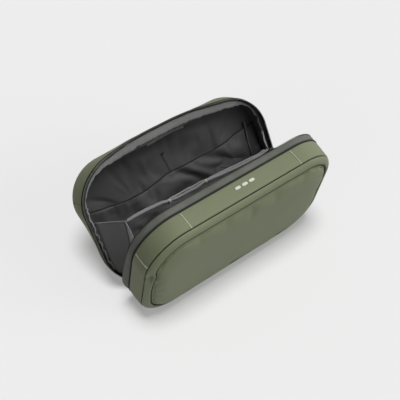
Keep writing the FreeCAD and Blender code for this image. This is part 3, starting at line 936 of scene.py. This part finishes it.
def back_lining_eave():
    """Lining of the arched top, from the rim in to the lining tray."""
    s = stations(TOP_MIDDLE - ARCH_CUT, TOP_MIDDLE + ARCH_CUT, 2.5)
    depth = np.array((5.5, 7.0, 10.0, 14.0, 18.0, 21.0))
    d = np.concatenate((depth, depth[::-1]))
    a = np.array((2.1,) * 6 + (2.6,) * 6)
    x, h = around(s[:, None], a)
    drop = step_up(d, 5.5, 21.0)[None, :, None]
    points = place_back(x, h, d) * (1 - drop) + place_back_lining(x, h, d) * drop
    lie_flat(skin("back_lining_eave", points, "lining_fabric", "back_half"))


def lining_corner_seam():
    """Seam of the lining that stands up inside the back half's right end, and a near-black tube beside it as
    a painted shadow of the seam.
    """
    t = np.linspace(0, 1, 30)
    h = 96.5 - 37.0 * t
    x = 100.5 - 6.5 * t + 0.5 * np.sin(9 * t)
    d = back_face(h) - 5.5 + 0.3 * np.sin(11 * t)
    radius = 0.7 + 0.15 * np.sin(19 * t)
    tube("back_lining_seam", place_back_lining(x, h, d), radius, "zip_tape", "back_half")
    # Near-black tube just beside the seam: painted shadow cast by the seam, not a crease in the cloth.
    crease = place_back_lining(x - 1.3, h - 0.6, d + 0.3)
    tube("back_lining_seam_shadow", crease, radius, "dark_trim", "back_half")


HEM_AT = (-1, -0.56, -0.34, -0.1, 0.1, 0.46, 0.62, 0.74, 1)      # the slack hem rises and falls
HEM_WAVE = (4.5, -3.6, -3.6, 1.2, 1.0, 0.0, 1.2, 4.0, 6.0)


def slip_pocket():
    """Slack pocket across the back wall, gaping a little at its hem; the hem roll is near-black as painted
    shade for the gap along the pocket's mouth.
    """
    u, v = sheet_grid(90, 34)
    top = POCKET_TOP + np.interp(u, HEM_AT, HEM_WAVE)
    h = POCKET_LOW + (top - POCKET_LOW) * v
    x = u * half_width(h, 3.4)
    gape = step_up(h, 30, POCKET_TOP) * (1.2 + 1.6 * np.cos(math.pi * u / 2))
    d = back_face(h) - 3.6 - gape
    d -= crumple(x, h, 26, 21) * 0.9 * np.clip(v * 4, 0, 1)
    d -= ridge(x, h, (2, 90), (42, 58), 4.0, 2.6) + ridge(x, h, (22, 80), (60, 66), 5.0, 1.2)
    d += ridge(x, h, (-4, 84), (24, 66), 3.5, 1.4)
    side_hold = np.clip((1 - np.abs(u)) * 6, 0, 1)
    d = back_face(h) - 3.2 + (d - back_face(h) + 3.2) * side_hold
    pocket = flat_cloth("back_slip_pocket_cloth", place_back, x, h, d, "lining_fabric", "back_half")
    loose = place_back(x, h, d)[4:-10, 3:-1]      # held by the seam at its right end
    settle(pocket, loose, 1.0, 0.035, 5.0)
    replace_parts(pocket, "back_slip_pocket")
    c, s = circle(10)
    # The hem roll takes the near-black trim: painted shade for the dark gap along the pocket's mouth.
    roll = place_back(x[:, -1:], h[:, -1:] + 0.3 + 0.8 * s, d[:, -1:] + 0.7 * c)
    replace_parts(skin("back_slip_pocket_hem_roll", roll, "dark_trim", "back_half"), "back_slip_pocket_hem")


def keeper_and_label():
    """Keeper tab above the slip pocket, and the plain label sewn in under the top binding."""
    u, v = sheet_grid(7, 24)
    h = POCKET_TOP + 22.0 * v
    x = -2.5 + u * 2.2 - 2.6 * v + 0.6 * np.sin(3 * v)
    d = back_face(h) - 2.85 - lining_folds(x, h, BACK_LINING_SEED) - 0.2 * np.cos(u * 1.4)
    tab = flat_cloth("back_keeper_tab_cloth", place_back, x, h, d, "lining_fabric", "back_half")
    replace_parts(tab, "back_keeper_tab")
    knot = []
    for k in (-0.8, 0.0, 0.8):
        ends = np.array((-6.6, -3.2))
        on = back_face(105) - 3.2 - lining_folds(ends, 105 + k, BACK_LINING_SEED)
        start, end = place_back(ends, np.array((104.6, 105.6)) + k, on)
        knot.append(stitch(start, end, np.array((0, -0.87, 0.49)), 0.5, 0.3))
    many("back_keeper_tack", knot, "dark_trim", "back_half")
    u, v = sheet_grid(24, 10)
    x = -3.0 + 23.0 * u
    h = 125.5 - 6.2 * v + 0.5 * np.sin(2.2 * u + 1) * v
    d = 7.4 + 1.4 * v + 0.5 * np.sin(4 * u) * v
    label = flat_cloth("back_inner_label_cloth", place_back, x, h, d, "label", "back_half")
    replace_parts(label, "back_inner_label")
    lie_flat(label)


# ---- divider ----

ELASTIC_X = (-90, -78, -66, -48, -39.3, -30, -14, -6, 6.5, 14, 26, 52, 80, 90)
ELASTIC_H = (85.1, 85.6, 85.2, 83.6, 81.6, 80.0, 79.8, 79.4, 81.0, 79.8, 78.4, 76.0, 75.2, 77.0)


def elastic_height(x):
    """Height of the divider's elastic edge, which dips between its ends and rises at the tacks."""
    return np.interp(x, ELASTIC_X, ELASTIC_H)


def divider():
    """Panel under an elastic edge, with a pocket layer behind it that gapes between two tacks."""
    u, v = sheet_grid(76, 30)
    x = u * DIVIDER_HALF
    h = DIVIDER_LOW + (elastic_height(x) - 2.4 - DIVIDER_LOW) * v
    d = crumple(x, h, 30, 41) * 0.7 * np.sin(math.pi * v) ** 0.5 + crumple(x, h, 12, 42) * 0.2
    d = d * np.clip((1 - np.abs(u)) * 8, 0, 1)
    # The panel takes the lighter copy of the lining, as painted light on cloth that sits in shade.
    panel = flat_cloth("divider_panel_cloth", place_divider, x, h, d, "divider_fabric", "divider", 0.9)
    settle(panel, place_divider(x, h, d)[3:-3, 3:-2], 0.0, 0.02, 2.5)
    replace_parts(panel, "divider_panel")
    d = 1.2 + pocket_gape(x) * step_up(h, 40, 82) + crumple(x, h, 24, 45) * 0.5 * np.sin(math.pi * v)
    pocket = skin("divider_pocket_cloth", place_divider(x * POCKET_SHARE, h - 0.8, d), "lining_fabric",
                  "divider", (pad_uv(x), pad_uv(h)), False, False, 0.6)
    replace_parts(pocket, "divider_pocket")


def divider_edges():
    """Elastic of both layers, the tacks over it, and the bound edges at the ends."""
    x = np.linspace(-DIVIDER_HALF, DIVIDER_HALF, 150)
    wobble = 0.25 * np.sin(x * 0.9) + 0.2 * np.sin(x * 0.37 + 1)
    elastic_tube("divider_elastic", x, elastic_height(x) - 1.3 + 0.2 * wobble, -0.1 + 0 * x, 1.3, 1.45)
    elastic_tube("divider_pocket_hem", x * POCKET_SHARE, elastic_height(x) - 1.7 + 0.3 * wobble,
                 1.9 + pocket_gape(x), 1.2, 1.1)
    tacks = []
    for x in TACKS:
        for turn in np.radians((-20, 10, 40, 70, 100)):
            h, d = elastic_height(x) - 1.3 + 1.3 * math.sin(turn), -0.1 - 1.5 * math.cos(turn)
            out = place_divider(0, math.sin(turn), -math.cos(turn)) - place_divider(0, 0, 0)
            tacks.append(stitch(place_divider(x - 0.9, h, d), place_divider(x + 0.9, h, d), out, 0.45, 0.2))
    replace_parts(many("divider_bar_tacks", tacks, "pale_thread", "divider"), "divider_tacks")
    c, s = circle(8)
    for end, sign in SIDES:
        h = DIVIDER_LOW + (elastic_height(sign * DIVIDER_HALF) - 8.0) * np.linspace(0, 1, 26)[:, None]
        points = place_divider(sign * (DIVIDER_HALF + 0.5) + 0.7 * c, h, s)
        edge = skin("divider_edge_%s_roll" % end, points, "dark_trim", "divider")
        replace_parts(edge, "divider_edge_" + end)


def pocket_gape(x):
    """How far the pocket layer stands off the divider: it gapes between the tacks."""
    middle = (TACKS[0] + TACKS[1]) / 2
    span = (TACKS[1] - TACKS[0]) / 2
    return 2.8 * hump(x, middle, span) ** 0.45 + 0.6 * hump(x, -66, 27) + 2.4 * hump(x, 49, 43)


def elastic_tube(name, x, h, d, thick, tall):
    """Flat elastic along a line, pinched at the tacks."""
    c, s = circle(12)
    tall = np.interp(x, (-92, -50, -39.3, -30, 0, 6.5, 16, 60, 92),
                     (0.8, 0.9, 0.75, 1.0, 1.05, 0.85, 1.1, 1.0, 0.9)) * tall
    points = place_divider(x[:, None], h[:, None] + tall[:, None] * s, d[:, None] + thick * c)
    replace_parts(skin(name + "_roll", points, "elastic", "divider"), name)


# ---- fabric that folds between the halves and the divider ----

def folding_ends():
    """Cloth from the rim of each half to the divider's edge, with a bound edge along its top."""
    v = np.linspace(0, 1, 26)[None, :]
    t = np.linspace(0, 1, 12)[:, None]
    edge_wide = {"back": 0.45 + 0.2 * t[:, 0], "front": 0.35 + 2.9 * (1 - t[:, 0]) ** 1.3}
    for end, sign in SIDES:
        for half, toward, (far, high), slot, slack in (
                # Back ends: the lighter copy of the lining, as painted light on cloth in shade.
                ("back", 1, (109.0, 82.0), "divider_fabric", 0.75 - 0.25 * sign),
                # Front ends: the pale elastic cloth, as painted light on cloth that sits in deep shade.
                ("front", -1, (107.5, 103.0), "elastic", 0.3)):
            rim_h = ZIP_END_H + (high - ZIP_END_H) * v
            rim_line = HALVES[half][0](sign * np.minimum(half_width(rim_h, 3.4), far), rim_h, 3.4 + 0 * v)
            top = elastic_height(sign * DIVIDER_HALF) - 12.6
            inner = place_divider(sign * (DIVIDER_HALF + 1.2) + 0 * v, 12.0 + top * v, toward * 0.4 + 0 * v)
            points = rim_line + (inner - rim_line) * t[:, :, None]
            sag = np.sin(math.pi * t) * (0.25 + 0.75 * v) * MM * slack
            points = points + sag[:, :, None] * np.array((-sign * 3.0, 0, -1.5))
            cloth_end = skin("%s_fold_%s_cloth" % (half, end), points, slot, None, None, False, False, 0.5)
            edge = fold_edge("%s_fold_edge_%s_roll" % (half, end), points[:, -1], edge_wide[half])
            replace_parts(cloth_end, "%s_fold_%s" % (half, end))
            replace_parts(edge, "%s_fold_edge_%s" % (half, end))
            join_fold(cloth_end)
            join_fold(edge)


def fold_edge(name, line, wide):
    """Bound edge standing on a line of points: 1 mm thick, and wide millimetres tall each way."""
    side = unit_rows(np.cross(unit_rows(np.gradient(line, axis=0)), UP))
    c, s = circle(8)
    ring = side[:, None] * (0.5 * c)[None, :, None] + UP * (wide[:, None] * s)[:, :, None]
    centre = line[:, None] + UP * (wide * MM * 0.5)[:, None, None]
    return skin(name, centre + ring * MM, "edge_binding", None)


def join_fold(obj):
    """Bakes the piece's placement into its mesh; the piece rides on no body. No joint links the front half
    to the divider."""
    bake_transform(obj)


def fold_strip():
    """Soft gutter of cloth that joins both halves along the fold and up to the folding ends, lapped
    over both bases."""
    end = station_at_height(13.0, -1)
    s = stations(-end, end)[:, None]
    depth = np.array((8.0, 6.0, 4.0, 2.5))[None, :]
    x, h = around(s, 1.75 + 0 * depth)
    front, back = place_front(x, h, depth), place_back(x, h, depth[:, ::-1])
    t = np.linspace(0, 1, 9)[None, 1:-1, None]
    middle = front[:, -1:] + (back[:, :1] - front[:, -1:]) * t
    middle = middle - np.array((0, 0, 1.2)) * MM * np.sin(math.pi * t)
    points = np.concatenate((front, middle, back), 1)
    strip = skin("fold_strip_cloth", points, "lining_fabric", None, None, False, False, 0.6)
    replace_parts(strip, "fold_strip")
    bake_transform(strip)


# ---- the stage ----

FLOOR = "studio_floor"
OUTER_SLOTS = ("shell_fabric", "zip_tape", "pale_thread", "pale_print", "zip_metal", "pull_tab")


def stage():
    """A wide pale floor."""
    mesh = bpy.data.meshes.new(FLOOR)
    reach = 6.0
    mesh.from_pydata([(-reach, -reach, 0), (reach, -reach, 0), (reach, reach, 0), (-reach, reach, 0)], [],
                     [(0, 1, 2, 3)])
    floor = bpy.data.objects.new(FLOOR, mesh)
    bpy.context.scene.collection.objects.link(floor)
    looks = {"Base Color": (0.34, 0.34, 0.34, 1), "Roughness": 0.95, "Specular IOR Level": 0.05,
             "Emission Color": (1, 1, 1, 1), "Emission Strength": 0.24}
    mesh.materials.append(finish_material(FLOOR, lambda tree: looks))


def lights():
    """Even light all round, a wide softbox on the floor and another, from the right, on the pouch,
    a key for the outer cloth from the front right, and a weak fill from the left."""
    scene = bpy.context.scene
    scene.view_settings.view_transform = "Standard"
    world = bpy.data.worlds.new("studio")
    world.use_nodes = True
    background = world.node_tree.nodes["Background"]
    background.inputs["Color"].default_value = (1, 1, 1, 1)
    background.inputs["Strength"].default_value = 0.26
    scene.world = world
    groups = {"floor": [], "pouch": [], "outer_cloth": []}
    for obj in bpy.data.objects:
        if obj.type != "MESH":
            continue
        groups["floor" if obj.name == FLOOR else "pouch"].append(obj)
        if obj.data.materials and obj.data.materials[0].name in OUTER_SLOTS:
            groups["outer_cloth"].append(obj)
    lamps = (("floor_softbox", 4.3, 21, (-0.05, -0.14, 0.98), "floor"),
             ("pouch_softbox", 4.7, 50, (0.52, -0.14, 0.84), "pouch"),
             ("key", 1.9, 60, (0.55, -0.82, 0.18), "outer_cloth"),
             ("side_fill", 1.0, 60, (-0.94, -0.3, 0.05), "outer_cloth"))
    for name, energy, angle, toward, group in lamps:
        sun = bpy.data.lights.new(name, "SUN")
        sun.energy = energy
        sun.angle = math.radians(angle)
        lamp = bpy.data.objects.new(name, sun)
        lamp.rotation_euler = Vector(toward).to_track_quat("Z", "Y").to_euler()
        scene.collection.objects.link(lamp)
        lit = bpy.data.collections.new("lit_by_" + name)
        for obj in groups[group]:
            lit.objects.link(obj)
        lamp.light_linking.receiver_collection = lit


def camera():
    """Long lens from above, front left."""
    azimuth, elevation = math.radians(-38.39), math.radians(46.88)
    back = Vector((math.sin(azimuth) * math.cos(elevation), -math.cos(azimuth) * math.cos(elevation),
                   math.sin(elevation)))
    target = Vector(FOLD_LINE) + Vector((0, 0, 60 * MM))
    data = bpy.data.cameras.new("camera")
    data.lens = 70.70
    data.sensor_width = 36
    data.shift_x, data.shift_y = -0.0245, 0.0117
    data.clip_start, data.clip_end = 0.01, 50
    obj = bpy.data.objects.new("camera", data)
    obj.location = target + back * 0.80465
    obj.rotation_euler = back.to_track_quat("Z", "Y").to_euler()
    bpy.context.scene.collection.objects.link(obj)
    bpy.context.scene.camera = obj


# ---- the carried-over nodes ----

def dress_cad_nodes():
    """Gives each CAD node that stays visible its finished material."""
    slots = {"slider_body": "zip_metal", "slider_lug": "zip_metal", "pull_loop": "zip_metal",
             "pull_tab": "pull_tab", "front_zip_stops": "zip_coil", "back_zip_stops": "zip_coil"}
    for name, obj in frame["nodes"].items():
        obj.data.materials.clear()
        obj.data.materials.append(MATERIALS[slots.get(name, "lining_fabric")])


def build():
    camera()
    stage()
    dress_cad_nodes()
    wall("front", TAPE_FRONT_END + TAPE_LAP, level(DEPTH_FRONT - 0.2), FRONT_PUFF)
    wall("back", TAPE_BACK_END + TAPE_LAP, lambda h: back_face(h) + 0.7, BACK_PUFF)
    zip_half("front", TAPE_FRONT_END)
    zip_half("back", TAPE_BACK_END)
    seam_cord("front", 1.25, level(DEPTH_FRONT))
    seam_cord("back", 1.1, lambda h: back_face(h) + 0.9)
    front_pocket()
    front_details()
    dome("back_panel_cloth", "back", 2.2, lambda h: back_face(h) + 1.2, 1.5, 1.7,
         ("back_panel", "back_stiffener"), 17)
    lining("front", place_front, level(27.6), 31)
    back_lining_eave()
    lining("back", place_back_lining, lambda h: back_face(h) - 2.5, BACK_LINING_SEED)
    bindings()
    lining_corner_seam()
    slip_pocket()
    keeper_and_label()
    divider()
    divider_edges()
    folding_ends()
    fold_strip()
    lights()


build()
